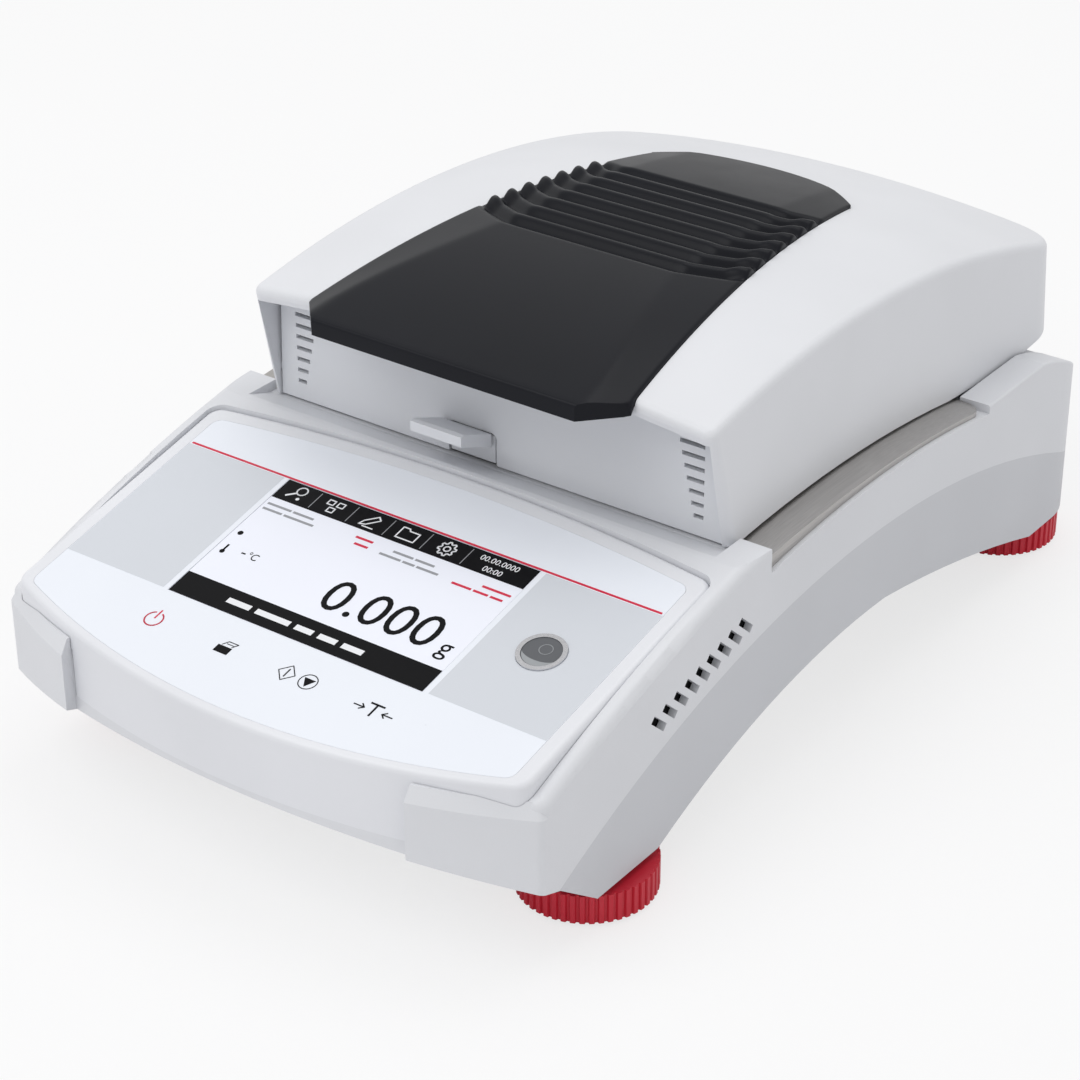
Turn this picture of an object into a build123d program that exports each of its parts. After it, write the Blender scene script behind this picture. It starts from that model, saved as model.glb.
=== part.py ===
from build123d import *
import os
from math import sqrt, sin, cos, tan, radians, pi

# Moisture analyzer: a bench balance with a ring-lamp dryer in its hinged lid.
# Millimetres. +Z up, +X to the object's right, -Y to its front, origin under the middle of the base.

# Base housing
base_width = 226.0
front_y = -192.0
rear_y = 192.0
front_radius = 300.0
front_corner_radius = 4.0
rear_corner_radius = 27.0
wall = 3.0
fit_gap = 0.2

# Side view of the base: heights of its outline
nose_z = 57.3
shoulder_y = -120.0
shoulder_z = 83.3
deck_front_y = -61.3
deck_rear_y = -44.0
deck_z = 97.2
rest_front_y = -59.5
rest_y = -47.5
rest_z = 93.3
rail_front_z = 88.2
rail_mid_y = 26.0
rail_mid_z = 92.6
rail_rear_y = 104.0
rail_rear_z = 85.5
cheek_z = 88.8
cheek_rear_y = 146.0
tail_mid_y = 174.5
tail_mid_z = 77.8
tail_rear_z = 64.0
shoulder_radius = 4.0
tail_radius = 1.0
bay_z = 83.0
bay_gap = 1.4
plateau_y = 146.0
plateau_z = 76.0
parting_z = 72.4
parting_y = 16.0
parting_radius = 400.0
arch_z = 41.5
arch_y = 34.0
arch_front_y = -108.0
arch_front_mid_y = -44.0
arch_front_mid_z = 35.5
arch_rear_y = 146.0
arch_rear_mid_y = 91.0
arch_rear_mid_z = 30.5
boss_z = 15.0
chin_y = -162.0
chin_z = 30.0
front_low_z = 41.0

# Front corner blocks
block_x = 72.5
block_top_z = 66.0
block_reach = 4.7
block_outer_reach = 1.4
block_bevel_z = 5.0
block_bevel_y = 3.0

# Control console
tilt = 12.54
panel_y = -121.9
panel_z = 83.35
console_half = 107.5
console_rear_radius = 735.0
console_depth = 8.0
console_wall = 2.5
console_edge = 2.2
console_front_z = 43.2
console_ledge = 10.0
overlay_margin = 3.0
overlay_rear_margin = 6.9
overlay_half = 101.5
overlay_sheet = 0.6
screen_w = 108.0
screen_h = 64.8
screen_x = -0.9
module_border = 5.0
module_depth = 5.0
key_x = [-48.8, -17.4, 12.5, 44.2]
key_names = ["power", "print", "start_stop", "tare"]
key_v = -46.3
key_radius = 5.0
key_flange = 6.2
key_travel = 0.3
key_height = 5.4
level_x = 76.6
level_radius = 8.5
level_bore = 6.9
level_height = 6.0
board_depth = 15.0
board_sheet = 1.6

# Side vents
vent_count = 9
vent_y = -108.8
vent_z = 63.5
vent_step_y = 6.25
vent_step_z = 1.5
vent_length = 9.4
vent_width = 2.8
vent_lean = 48.0

# Drying chamber in the base
chamber_y = 26.0
tray_sheet = 1.2
tray_half = 111.4
tray_front_y = -43.7
tray_rear_y = 103.5
tray_corner = 9.0
tray_hole = 60.5
well_radius = 66.0
cup_sheet = 1.0
cup_rim = 67.0
cup_floor_z = 80.5
cup_radius = 60.0
cup_hole = 8.0
shield_radius = 58.5
shield_bore = 49.0
shield_z = 98.0
pan_radius = 45.0
pan_z = 93.5
pan_height = 6.0
pan_rim = 2.4
pan_sheet = 0.6
handler_bore = 47.9
handler_radius = 54.0
handler_sheet = 1.5
handler_z = 98.3
tab_x = -10.4
tab_width = 22.0
tab_front_y = -64.5
tab_rear_y = -50.5
tab_z = 110.0
neck_width = 15.0
shaft_radius = 4.0

# Weighing cell
beam_width = 24.0
beam_height = 16.0
beam_front_y = -54.0
beam_rear_y = 38.0
spacer_height = 8.0
frame_sheet = 3.0
frame_half = 90.0
frame_front_y = -64.0
frame_rear_y = 76.0

# Feet
foot_front_inset = 19.5
foot_front_y = -120.5
foot_rear_inset = 26.0
foot_rear_y = 168.0
foot_radius = 24.1
foot_low_z = 1.3
foot_height = 10.7
foot_ribs = 48
pad_radius = 21.0
pad_sheet = 1.2
stud_radius = 4.0
stud_top_z = 32.0
insert_radius = 7.0
insert_height = 12.0
thread_clearance = 0.08

# Lid
lid_half = 99.2
lid_side_draft = 2.2
lid_front_y = -47.5
lid_front_lean = 13.4
lid_rear_y = 190.0
lid_rear_lean = 1.5
lid_low_z = 94.2
lid_corner_radius = 25.0
lid_front_corner = 4.0
lid_wall = 3.0
lid_edge_radius = 3.2
lid_mid_y = 16.0
lid_mid_z = 96.3
lid_rear_z = 89.2
lid_tail_y = 145.0
lid_tail_z = 85.6
lid_end_z = 88.8
roof_radius = 460.0
roof_y = 28.0
roof_z = 155.3
crown_radius = 676.0
fascia = 5.2
skirt_y = -46.5
skirt_half = 95.4
skirt_wall = 2.5
skirt_low_z = 94.4
notch_x = -8.5
notch_width = 21.0
notch_z = 106.5
louvre_count = 7
louvre_z = 128.0
louvre_pitch = 4.4
louvre_outer = 87.5
louvre_inner = 77.5
louvre_step = 1.0
louvre_height = 1.6
lid_floor_z = 104.0
lid_floor_rear_y = 150.0
lamp_window = 58.0

# Black vent insert on the roof
insert_front_y = -74.8
insert_front_half = 55.3
insert_wide_y = -61.2
insert_wide_half = 67.8
insert_side_y = 115.0
insert_side_half = 44.3
insert_rear_y = 131.0
insert_top_z = 157.3
insert_bow = 920.0
insert_step = 1.2
insert_rim = 3.0
insert_seat = 4.0
insert_deep = 6.0
insert_lip_z = 139.5
insert_lip_wall = 2.5
rib_count = 7
rib_y = 18.0
rib_pitch = 9.5
rib_width = 4.5
rib_height = 3.0
rib_sweep = 7.5
rib_fold = 37.0
slot_width = 1.6
slot_half = 28.0

# Hinge
hinge_y = 173.0
hinge_z = 80.0
hinge_x = 70.0
pin_radius = 3.0
pin_clearance = 0.06
barrel_radius = 5.2
barrel_width = 16.0
ear_width = 4.0
ear_radius = 4.6
hinge_side_gap = 0.4
neck_inset = 9.5
neck_front_y = 155.0
neck_z = 85.0
arm_flange_y = 126.0
arm_flange_z = 101.0

# Heater
glass_radius = 62.0
glass_sheet = 2.5
retainer_radius = 66.0
lamp_radius = 42.0
lamp_tube = 5.0
lamp_z = 118.0
reflector_z = 130.0
reflector_sheet = 1.0

# Rear connectors
port_half = 70.0
port_low_z = 34.5
port_high_z = 60.5
port_sheet = 1.5
inlet_x = 48.0
inlet_w = 24.0
inlet_h = 16.5
inlet_depth = 20.0
inlet_wall = 1.5
serial_x = 4.0
usb_x = [-28.0, -50.0]

# Screws
screw_radius = 2.0
screw_head = 3.5
screw_post = 5.0

half_w = base_width / 2
foot_front_x = half_w - foot_front_inset
foot_rear_x = half_w - foot_rear_inset
slope = (0, -sin(radians(tilt)), cos(radians(tilt)))
panel = Plane(origin=(0, panel_y, panel_z), x_dir=(1, 0, 0), z_dir=slope)
far = 300.0
front_centre = front_y + front_radius
parts = {}


def on_arc(x, radius):
    """Depth of an arc about the housing's front centre, at x."""
    return front_centre - sqrt(radius * radius - x * x)


def block(x0, x1, y0, y1, z0, z1):
    return Pos((x0 + x1) / 2, (y0 + y1) / 2, (z0 + z1) / 2) * Box(x1 - x0, y1 - y0, z1 - z0)


def slab(low, high):
    """All that lies between two heights above the console's plane."""
    return panel * Pos(0, 0, (low + high) / 2) * Box(far * 2, far * 2, high - low)


def upright(sketch, z0, z1):
    return extrude(Pos(0, 0, z0) * sketch, z1 - z0)


def across(lines, half=far):
    """A closed side view (y, z) drawn out to both sides."""
    return extrude(Plane.YZ * make_face(lines), half, both=True)


def tube(outer, bore, z0, z1, x=0.0, y=0.0):
    body = Cylinder(outer, z1 - z0)
    if bore > 0:
        body -= Cylinder(bore, z1 - z0 + 2)
    return Pos(x, y, (z0 + z1) / 2) * body


def rod_x(radius, x0, x1, y, z):
    return Pos((x0 + x1) / 2, y, z) * Rot(0, 90, 0) * Cylinder(radius, x1 - x0)


def spun(points, x=0.0, y=0.0):
    """A closed outline of (radius, z) points turned about a vertical axis."""
    face = make_face(Polyline(*points, close=True))
    return Pos(x, y, 0) * revolve(Plane.XZ * face, Axis.Z)


def both_sides(shape):
    return shape + mirror(shape, Plane.YZ)


def base_plan(inset):
    half = half_w - inset
    radius = front_radius - inset
    side_y = on_arc(half, radius)
    outline = Curve() + ThreePointArc((-half, side_y), (0, front_centre - radius), (half, side_y))
    outline += Polyline((half, side_y), (half, rear_y - inset), (-half, rear_y - inset), (-half, side_y))
    face = make_face(outline)
    corners = face.vertices().sort_by(Axis.Y)
    face = fillet(corners[-2:], rear_corner_radius - inset)
    corners = face.vertices().sort_by(Axis.Y)
    return fillet(corners[:2], max(front_corner_radius - inset, 0.6))


def base_side(inset):
    """Side view: shoulder, deck, tray rail, cheek, tail and the arched underside."""
    i = inset
    nose = (front_y + i, nose_z - i)
    deck = (deck_front_y, deck_z - i)
    rail = (deck_rear_y - i, rail_front_z - i)
    rail_end = (rail_rear_y + i, rail_rear_z - i)
    cheek = (cheek_rear_y, cheek_z - i)
    tail = (rear_y - i, tail_rear_z - i)
    arch_rear = (arch_rear_y, boss_z + i)
    arch_top = (arch_y, arch_z + i)
    arch_front = (arch_front_y, boss_z + i)
    lines = Curve() + ThreePointArc(nose, (shoulder_y, shoulder_z - i), deck)
    lines += Polyline(deck, (deck_rear_y - i, deck_z - i), rail)
    lines += ThreePointArc(rail, (rail_mid_y, rail_mid_z - i), rail_end)
    lines += Polyline(rail_end, (rail_rear_y + i, cheek_z - i), cheek)
    lines += ThreePointArc(cheek, (tail_mid_y - 0.4 * i, tail_mid_z - 0.8 * i), tail)
    lines += Polyline(tail, (rear_y - i, boss_z + i), arch_rear)
    lines += ThreePointArc(arch_rear, (arch_rear_mid_y, arch_rear_mid_z + i), arch_top)
    lines += ThreePointArc(arch_top, (arch_front_mid_y, arch_front_mid_z + i), arch_front)
    chin = [(chin_y + 20, boss_z + i), (chin_y + 0.3 * i, chin_z + i), (front_y + i, front_low_z + i)]
    lines += Polyline(arch_front, *chin, nose)
    return across(lines)


def base_solid(inset):
    return upright(base_plan(inset), 0, 130) & base_side(inset)


def rounded_base():
    """The outer form with its shoulder edges rounded beside the console and eased at the tail."""
    body = base_solid(0)
    side = [e for e in body.edges() if abs(e.center().X) > half_w - 0.5 and e.center().Z > block_top_z]
    body = fillet([e for e in side if e.center().Y < deck_front_y - 10], shoulder_radius)
    tail = [e for e in body.edges() if e.center().Z > tail_rear_z - 1 and e.center().Y > rail_rear_y + 10]
    return fillet([e for e in tail if abs(e.center().Y - cheek_rear_y) > 1], tail_radius)


def above_parting():
    drop = parting_radius - sqrt(parting_radius ** 2 - 240 ** 2)
    low = (parting_y - 240, parting_z - drop)
    high = (parting_y + 240, parting_z - drop)
    lines = Curve() + ThreePointArc(low, (parting_y, parting_z), high)
    lines += Polyline(high, (high[0], 200), (low[0], 200), low)
    return across(lines)


def console_plan(inset, rear_inset=None, half=None, corner=None):
    """Plan of the console: bowed front, straight sides, gently bowed rear."""
    rear_inset = inset if rear_inset is None else rear_inset
    half = console_half - inset if half is None else half
    corner = max(6.0 - inset, 1.0) if corner is None else corner
    radius = front_radius - inset
    rear_radius = console_rear_radius - rear_inset
    rear_centre = deck_front_y - console_rear_radius
    low_y = on_arc(half, radius)
    high_y = rear_centre + sqrt(rear_radius * rear_radius - half * half)
    outline = Curve() + ThreePointArc((-half, low_y), (0, front_centre - radius), (half, low_y))
    outline += Line((half, low_y), (half, high_y))
    outline += ThreePointArc((half, high_y), (0, rear_centre + rear_radius), (-half, high_y))
    outline += Line((-half, high_y), (-half, low_y))
    face = make_face(outline)
    return fillet(face.vertices(), corner)


def corner_block():
    """Right front corner of the housing, standing ahead of the console's front wall."""
    inner_y = on_arc(block_x, front_radius) - block_reach
    outer_y = on_arc(half_w, front_radius) - block_outer_reach
    mid = ((block_x + half_w) / 2, (inner_y + outer_y) / 2 - 1.2)
    back_y = outer_y + 14
    outline = Curve() + ThreePointArc((block_x, inner_y), mid, (half_w, outer_y))
    outline += Polyline((half_w, outer_y), (half_w, back_y), (block_x, back_y), (block_x, inner_y))
    body = upright(make_face(outline), 0, block_top_z)
    body = fillet(body.edges().filter_by(Axis.Z).sort_by(Axis.Y)[1], 3.0)
    front = body.faces().filter_by(GeomType.PLANE, reverse=True).sort_by(Axis.Y)[0]
    ridge = front.edges().sort_by(Axis.Z)[-1]
    body = chamfer(ridge, block_bevel_z, block_bevel_y, reference=front)
    under = Curve() + Polyline(
        (chin_y, chin_z),
        (front_y - 8, front_low_z + 8 * (front_low_z - chin_z) / (chin_y - front_y)),
        (front_y - 8, 120),
        (chin_y + 80, 120),
        (chin_y + 80, chin_z),
        close=True,
    )
    return body & across(under)


def vents():
    cuts = []
    for n in range(vent_count):
        spot = Pos(half_w, vent_y + n * vent_step_y, vent_z + n * vent_step_z)
        cuts.append(spot * Rot(vent_lean, 0, 0) * Box(9, vent_width, vent_length))
    return both_sides(Part() + cuts)


def lid_plan(inset, z):
    rise = z - lid_low_z
    half = lid_half - rise * tan(radians(lid_side_draft)) - inset
    front = lid_front_y - rise * tan(radians(lid_front_lean)) + inset
    rear = lid_rear_y - rise * tan(radians(lid_rear_lean)) - inset
    face = Pos(0, (front + rear) / 2, z) * Rectangle(2 * half, rear - front)
    corners = face.vertices().sort_by(Axis.Y)
    face = fillet(corners[-2:], lid_corner_radius - inset)
    corners = face.vertices().sort_by(Axis.Y)
    return fillet(corners[:2], max(lid_front_corner - inset, 0.5))


def roof(inset):
    """Everything under the lid's crowned roof surface."""
    centre_z = roof_z - roof_radius
    top = crown_radius - inset
    edge = 125.0
    fall = top - sqrt(top * top - edge * edge)
    left = (-edge, roof_z - inset - fall)
    right = (edge, roof_z - inset - fall)
    outline = Curve() + ThreePointArc(left, (0, roof_z - inset), right)
    outline += Polyline(right, (edge, centre_z + 60), (-edge, centre_z + 60), left)
    section = Plane.XZ.offset(-roof_y) * make_face(outline)
    axis = Axis((0, roof_y, centre_z), (1, 0, 0))
    return revolve(section.rotate(axis, -35), axis, 70)


def lid_solid(inset):
    return loft([lid_plan(inset, 70.0), lid_plan(inset, 165.0)]) & roof(inset)


def lid_side(low_shift=0.0):
    """Side view of what the lid keeps above its lower edge."""
    s = low_shift
    start = (lid_front_y - 40, lid_low_z + s)
    front = (lid_front_y, lid_low_z + s)
    rear = (97.5, lid_rear_z + s)
    tail = (lid_tail_y, lid_tail_z + s)
    end = (lid_rear_y + 10, lid_end_z + 0.8 + s)
    lines = Curve() + Line(start, front)
    lines += ThreePointArc(front, (lid_mid_y, lid_mid_z + s), rear)
    lines += Polyline(rear, tail, end, (lid_rear_y + 10, 200), (lid_front_y - 40, 200), start)
    return across(lines)


def rebates(grow):
    """Where the top of the base drops for the lid: in front of its skirt and under its tail."""
    half = lid_half + bay_gap + grow
    front = Polyline(
        (rest_front_y - 0.3 * grow, deck_z + 0.1 - grow),
        (rest_y - 0.3 * grow, rest_z - grow),
        (deck_rear_y + 5, rest_z - grow),
        (deck_rear_y + 5, 130),
        (rest_front_y - 0.3 * grow, 130),
        close=True,
    )
    rear = Polyline(
        (rail_rear_y - grow, bay_z - grow),
        (plateau_y, bay_z - 3.0 - grow),
        (neck_front_y - 1, plateau_z - grow),
        (rear_y + 10, plateau_z - grow),
        (rear_y + 10, 130),
        (rail_rear_y - grow, 130),
        close=True,
    )
    return across(front, half) + across(rear, half)


def neck(inset):
    plan = lid_plan(neck_inset + inset, neck_z)
    body = extrude(plan, -(neck_z - plateau_z + 6)).moved(Location((0, 0, -inset)))
    return body & block(-far, far, neck_front_y + inset, far, 0, far)


def hinge_pockets(grow):
    half = barrel_width / 2 + hinge_side_gap + ear_width + 0.6 + grow
    low = hinge_z - ear_radius - 3.0 - grow
    return both_sides(block(hinge_x - half, hinge_x + half, hinge_y - 13 - grow, hinge_y + 6 + grow, low, 130))


def base_outside(inset):
    """The base's outer form, or the room inside it when inset by the wall."""
    form = base_solid(inset) if inset > 0 else rounded_base()
    return form - rebates(inset) + neck(inset) - hinge_pockets(inset)


# Housing shells
outside = base_outside(0)
room = base_outside(wall)
shell = outside - room
top_half = above_parting()
front_mouth = block(-block_x + 0.3, block_x - 0.3, front_y - 5, front_y + 18, console_front_z, 90)
console_hole = upright(console_plan(-fit_gap), 30, 130)
console_middle = upright(console_plan(console_ledge), front_low_z + wall, 130)
ledge_low = -console_depth - fit_gap - wall
ledge = (upright(console_plan(-wall), 30, 130) - console_middle) & slab(ledge_low, ledge_low + wall)
riser = (upright(console_plan(-wall), 30, 130) - console_hole) & slab(ledge_low, 40)

upper = (shell + both_sides(corner_block() - room)) & top_half
upper -= console_hole & slab(-console_depth - fit_gap, 60)
upper -= console_middle
upper += (ledge + riser) & outside
upper -= front_mouth
upper -= vents()
upper -= tube(well_radius, 0, rail_rear_z - 10, 120, 0, chamber_y)
post_spots = [(s * 99.0, y) for s in (-1, 1) for y in (-74.0, 84.0)]
post_mid_z = 62.0
for x, y in post_spots:
    post = tube(screw_post, screw_radius * 0.85, post_mid_z, 90, x, y)
    cap = outside if y > 0 else slab(-60, ledge_low + 1)
    upper += post & cap
plate_y = rear_y - port_sheet - 0.1
plate_room = block(-port_half - fit_gap, port_half + fit_gap, plate_y, rear_y + 5, port_low_z, port_high_z)
upper -= plate_room
upper -= block(-port_half + 4, port_half - 4, rear_y - 10, rear_y + 5, port_low_z + 3.5, port_high_z - 3.5)
parts["base_upper_housing"] = upper

# Lower housing with the bosses for the feet, the frame and the screws
lower = shell - top_half
foot_spots = [(s * foot_front_x, foot_front_y) for s in (-1, 1)]
foot_spots += [(s * foot_rear_x, foot_rear_y) for s in (-1, 1)]
for x, y in foot_spots:
    lower += tube(insert_radius + 3.5, 0, boss_z, boss_z + insert_height + 3, x, y)
    lower -= tube(insert_radius + 0.03, 0, boss_z - 1, boss_z + insert_height, x, y)
    lower -= tube(stud_radius + 1, 0, boss_z - 1, boss_z + insert_height + 5, x, y)
frame_low = arch_z + wall + 0.5
frame_top = frame_low + frame_sheet
frame_spots = [(s * (frame_half - 10), y) for s in (-1, 1) for y in (frame_front_y + 8, frame_rear_y - 8)]
for x, y in frame_spots:
    lower += tube(screw_post, screw_radius * 0.85, boss_z, frame_low, x, y) & outside
for x, y in post_spots:
    lower += tube(screw_post, screw_radius + 0.3, boss_z, post_mid_z - 0.1, x, y) & outside
    lower -= tube(screw_head + 0.5, 0, boss_z, post_mid_z - 8, x, y)
    lower -= tube(screw_radius + 0.3, 0, boss_z, post_mid_z + 1, x, y)
supply_z = 46.0
supply_spots = [(x, y) for x in (-74.0, 14.0) for y in (92.0, 150.0)]
for x, y in supply_spots:
    lower += tube(3.5, 0, boss_z, supply_z, x, y) & outside
parts["base_lower_housing"] = lower

# Console housing: a shallow tray turned over, with the front wall between the corner blocks
console = upright(console_plan(0), 30, 130) & slab(-console_depth, 0)
console -= upright(console_plan(console_wall), 30, 130) & slab(-60, -console_wall)
front_wall = upright(console_plan(0), console_front_z, 130) - upright(console_plan(console_wall), 30, 130)
front_wall &= slab(-60, -1)
console += front_wall & block(-block_x + 0.6, block_x - 0.6, front_y - 5, front_y + 20, 0, 130)
rim_face = console.faces().sort_by(Axis((0, 0, 0), slope))[-1]
console = fillet(rim_face.outer_wire().edges(), console_edge)
overlay_plan = console_plan(overlay_margin, overlay_rear_margin, overlay_half, 4.0)
overlay_room = console_plan(overlay_margin - 0.1, overlay_rear_margin - 0.1, overlay_half + 0.1, 4.1)
console -= upright(overlay_room, 30, 130) & slab(-overlay_sheet, 10)
console -= panel * Pos(screen_x, 0, 0) * Box(screen_w + 4, screen_h + 4, 20)
console -= panel * Pos(level_x, 0, 0) * Cylinder(level_radius + 0.4, 20)
for x in key_x:
    console -= panel * Pos(x, key_v, 0) * Cylinder(key_radius + 0.2, 20)
board_post_x = 80.0
board_post_y = 39.0
post_low = key_height + overlay_sheet + 0.35
board_post = Cylinder(3.5, board_depth - console_wall)
key_board_post = Cylinder(3.0, post_low - console_wall)
for x in (-board_post_x, board_post_x):
    for y in (-board_post_y, board_post_y):
        console += panel * Pos(x, y, -(board_depth + console_wall) / 2) * board_post
    console += panel * Pos(x * 0.8, key_v, -(post_low + console_wall) / 2) * key_board_post
parts["console_housing"] = console

overlay = upright(overlay_plan, 30, 130) & slab(-overlay_sheet, 0)
overlay -= panel * Pos(screen_x, 0, 0) * Box(screen_w + 0.3, screen_h + 0.3, 20)
overlay -= panel * Pos(level_x, 0, 0) * Cylinder(level_radius + 0.1, 20)
parts["control_overlay"] = overlay

module_top = -console_wall - 0.05
glass_top = -0.1
module_w = screen_w + 2 * module_border
module_h = screen_h + 2 * module_border
display = panel * Pos(screen_x, 0, module_top - module_depth / 2) * Box(module_w, module_h, module_depth)
glass_rise = glass_top - module_top
display += panel * Pos(screen_x, 0, module_top + glass_rise / 2) * Box(screen_w, screen_h, glass_rise)
parts["display_module"] = display

strip_w = 2 * board_post_x * 0.8 + 8
key_strip = panel * Pos(0, key_v, -post_low - board_sheet / 2) * Box(strip_w, 13.5, board_sheet)
parts["key_board"] = key_strip
flange_z = -console_wall - key_travel + 0.05
for name, x in zip(key_names, key_x):
    cap = panel * Pos(x, key_v, -overlay_sheet - 0.05 - key_height / 2) * Cylinder(key_radius, key_height)
    cap += panel * Pos(x, key_v, flange_z - 0.5) * Cylinder(key_flange, 1.0)
    parts["key_" + name] = cap

level_ring = Cylinder(level_radius, level_height) - Pos(0, 0, 1.2) * Cylinder(level_bore, level_height)
parts["level_ring"] = panel * Pos(level_x, 0, 0.6 - level_height / 2) * level_ring
vial_height = level_height - 1.5
vial = Cylinder(level_bore - 0.05, vial_height)
parts["level_vial"] = panel * Pos(level_x, 0, 0.6 - level_height + 1.2 + vial_height / 2) * vial

board_mid = panel * Pos(0, 0, -board_depth - board_sheet / 2)
main_board = board_mid * Box(2 * board_post_x + 10, 2 * board_post_y + 10, board_sheet)
main_board += board_mid * Pos(-40, 20, -board_sheet / 2 - 3) * Box(24, 24, 6)
main_board += board_mid * Pos(30, 10, -board_sheet / 2 - 2) * Box(18, 18, 4)
main_board += board_mid * Pos(10, 36, -board_sheet / 2 - 4) * Box(40, 6, 8)
parts["main_board"] = main_board


# Stainless tray around the drying chamber
def tray_solid(i, drop=0.0):
    rail = (tray_front_y + i, rail_front_z + 0.1 - drop)
    rail_end = (tray_rear_y - i, rail_rear_z + 0.15 - drop)
    top = (tray_front_y + i, lid_low_z - 0.9 - i)
    top_end = (tray_rear_y - i, lid_rear_z - 1.6 - i)
    lines = Curve() + ThreePointArc(top, (lid_mid_y, lid_mid_z - 1.0 - i), top_end)
    lines += Line(top_end, rail_end)
    lines += ThreePointArc(rail_end, (rail_mid_y, rail_mid_z + 0.1 - drop), rail)
    lines += Line(rail, top)
    mid_y = (tray_front_y + tray_rear_y) / 2
    plan = Pos(0, mid_y) * Rectangle(2 * (tray_half - i), tray_rear_y - tray_front_y - 2 * i)
    corners = plan.vertices().sort_by(Axis.Y)
    plan = fillet(corners[-2:], tray_corner - i)
    return across(lines) & upright(plan, 60, 120)


tray = tray_solid(0) - tray_solid(tray_sheet, 5.0)
tray -= tube(tray_hole, 0, 80, 110, 0, chamber_y)
parts["chamber_tray"] = tray

cup_top = lid_mid_z - 1.0 + 0.1
cup_points = [
    (cup_hole, cup_floor_z),
    (cup_radius, cup_floor_z),
    (cup_radius, cup_top),
    (cup_rim, cup_top),
    (cup_rim, cup_top + cup_sheet),
    (cup_radius - cup_sheet, cup_top + cup_sheet),
    (cup_radius - cup_sheet, cup_floor_z + cup_sheet),
    (cup_hole, cup_floor_z + cup_sheet),
]
parts["heat_shield_cup"] = spun(cup_points, 0, chamber_y)

shield_low = cup_floor_z + cup_sheet + 0.05
shield_points = [
    (shield_bore, shield_low),
    (shield_bore + 1.0, shield_low),
    (shield_bore + 1.0, shield_z - 1.0),
    (shield_radius, shield_z - 1.0),
    (shield_radius, shield_z),
    (shield_bore, shield_z),
]
parts["draft_shield"] = spun(shield_points, 0, chamber_y)

pan_points = [
    (0, pan_z),
    (pan_radius, pan_z),
    (pan_radius, pan_z + pan_height - pan_sheet),
    (pan_radius + pan_rim, pan_z + pan_height - pan_sheet),
    (pan_radius + pan_rim, pan_z + pan_height),
    (pan_radius - pan_sheet, pan_z + pan_height),
    (pan_radius - pan_sheet, pan_z + pan_sheet),
    (0, pan_z + pan_sheet),
]
parts["sample_pan"] = spun(pan_points, 0, chamber_y)

cell_low = frame_top + spacer_height
cell_top = cell_low + beam_height
shaft_low = cell_top + 0.5
support_top = pan_z - 0.05
support = tube(shaft_radius, 0, shaft_low + 3, support_top, 0, chamber_y)
support += tube(shaft_radius + 2.5, 0, shaft_low, shaft_low + 4, 0, chamber_y)
for turn in (90, 210, 330):
    arm = Pos(17, 0, support_top - 1.0) * Box(34, 8, 2.0) + Pos(34, 0, support_top - 1.0) * Cylinder(4, 2.0)
    support += Pos(0, chamber_y, 0) * Rot(0, 0, turn) * arm
support += tube(11, 0, support_top - 2.0, support_top, 0, chamber_y)
parts["pan_support"] = support

# Pan handler: a ring whose neck leaves the chamber through the notch in the lid's skirt
ring_y = chamber_y - handler_radius + 3.0
neck_lines = Polyline(
    (ring_y, handler_z),
    (ring_y, handler_z + handler_sheet),
    (ring_y - 5, handler_z + handler_sheet),
    (tab_rear_y + 5, tab_z - 5.2),
    (tab_rear_y - 8, tab_z - 1.0),
    (tab_rear_y - 8, tab_z - 2.2),
    (tab_rear_y + 5, tab_z - 6.7),
    (ring_y - 5, handler_z),
    close=True,
)
strap = Pos(tab_x, 0, 0) * extrude(Plane.YZ * make_face(neck_lines), neck_width / 2, both=True)
handler = tube(handler_radius, 0, handler_z, handler_z + handler_sheet, 0, chamber_y) + strap
handler -= tube(handler_bore, 0, 80, 120, 0, chamber_y)
grip_lines = Polyline(
    (tab_rear_y + 3, tab_z - 8.2),
    (tab_front_y, tab_z - 1.2),
    (tab_front_y, tab_z + 2.6),
    (tab_front_y + 2.0, tab_z + 2.8),
    (tab_rear_y + 3, tab_z - 3.2),
    close=True,
)
grip = Pos(tab_x, 0, 0) * extrude(Plane.YZ * make_face(grip_lines), tab_width / 2, both=True)
grip -= handler
parts["pan_handler"] = handler
parts["pan_handler_grip"] = grip

# Weighing cell on its frame
frame = block(-frame_half, frame_half, frame_front_y, frame_rear_y, frame_low, frame_top)
for x, y in frame_spots:
    frame -= tube(screw_radius + 0.2, 0, frame_low - 1, frame_top + 1, x, y)
parts["base_frame"] = frame
spacer_y = beam_front_y + 22
beam_half = beam_width / 2
parts["load_cell_spacer"] = block(-beam_half, beam_half, beam_front_y, spacer_y, frame_top, cell_low)
cell = block(-beam_half, beam_half, beam_front_y, beam_rear_y, cell_low, cell_top)
flexure_y = (beam_front_y + beam_rear_y) / 2
cell_mid = (cell_low + cell_top) / 2
for y in (flexure_y - 11, flexure_y + 11):
    cell -= rod_x(5.5, -20, 20, y, cell_mid)
cell -= block(-20, 20, flexure_y - 11, flexure_y + 11, cell_mid - 2, cell_mid + 2)
parts["load_cell"] = cell

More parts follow.
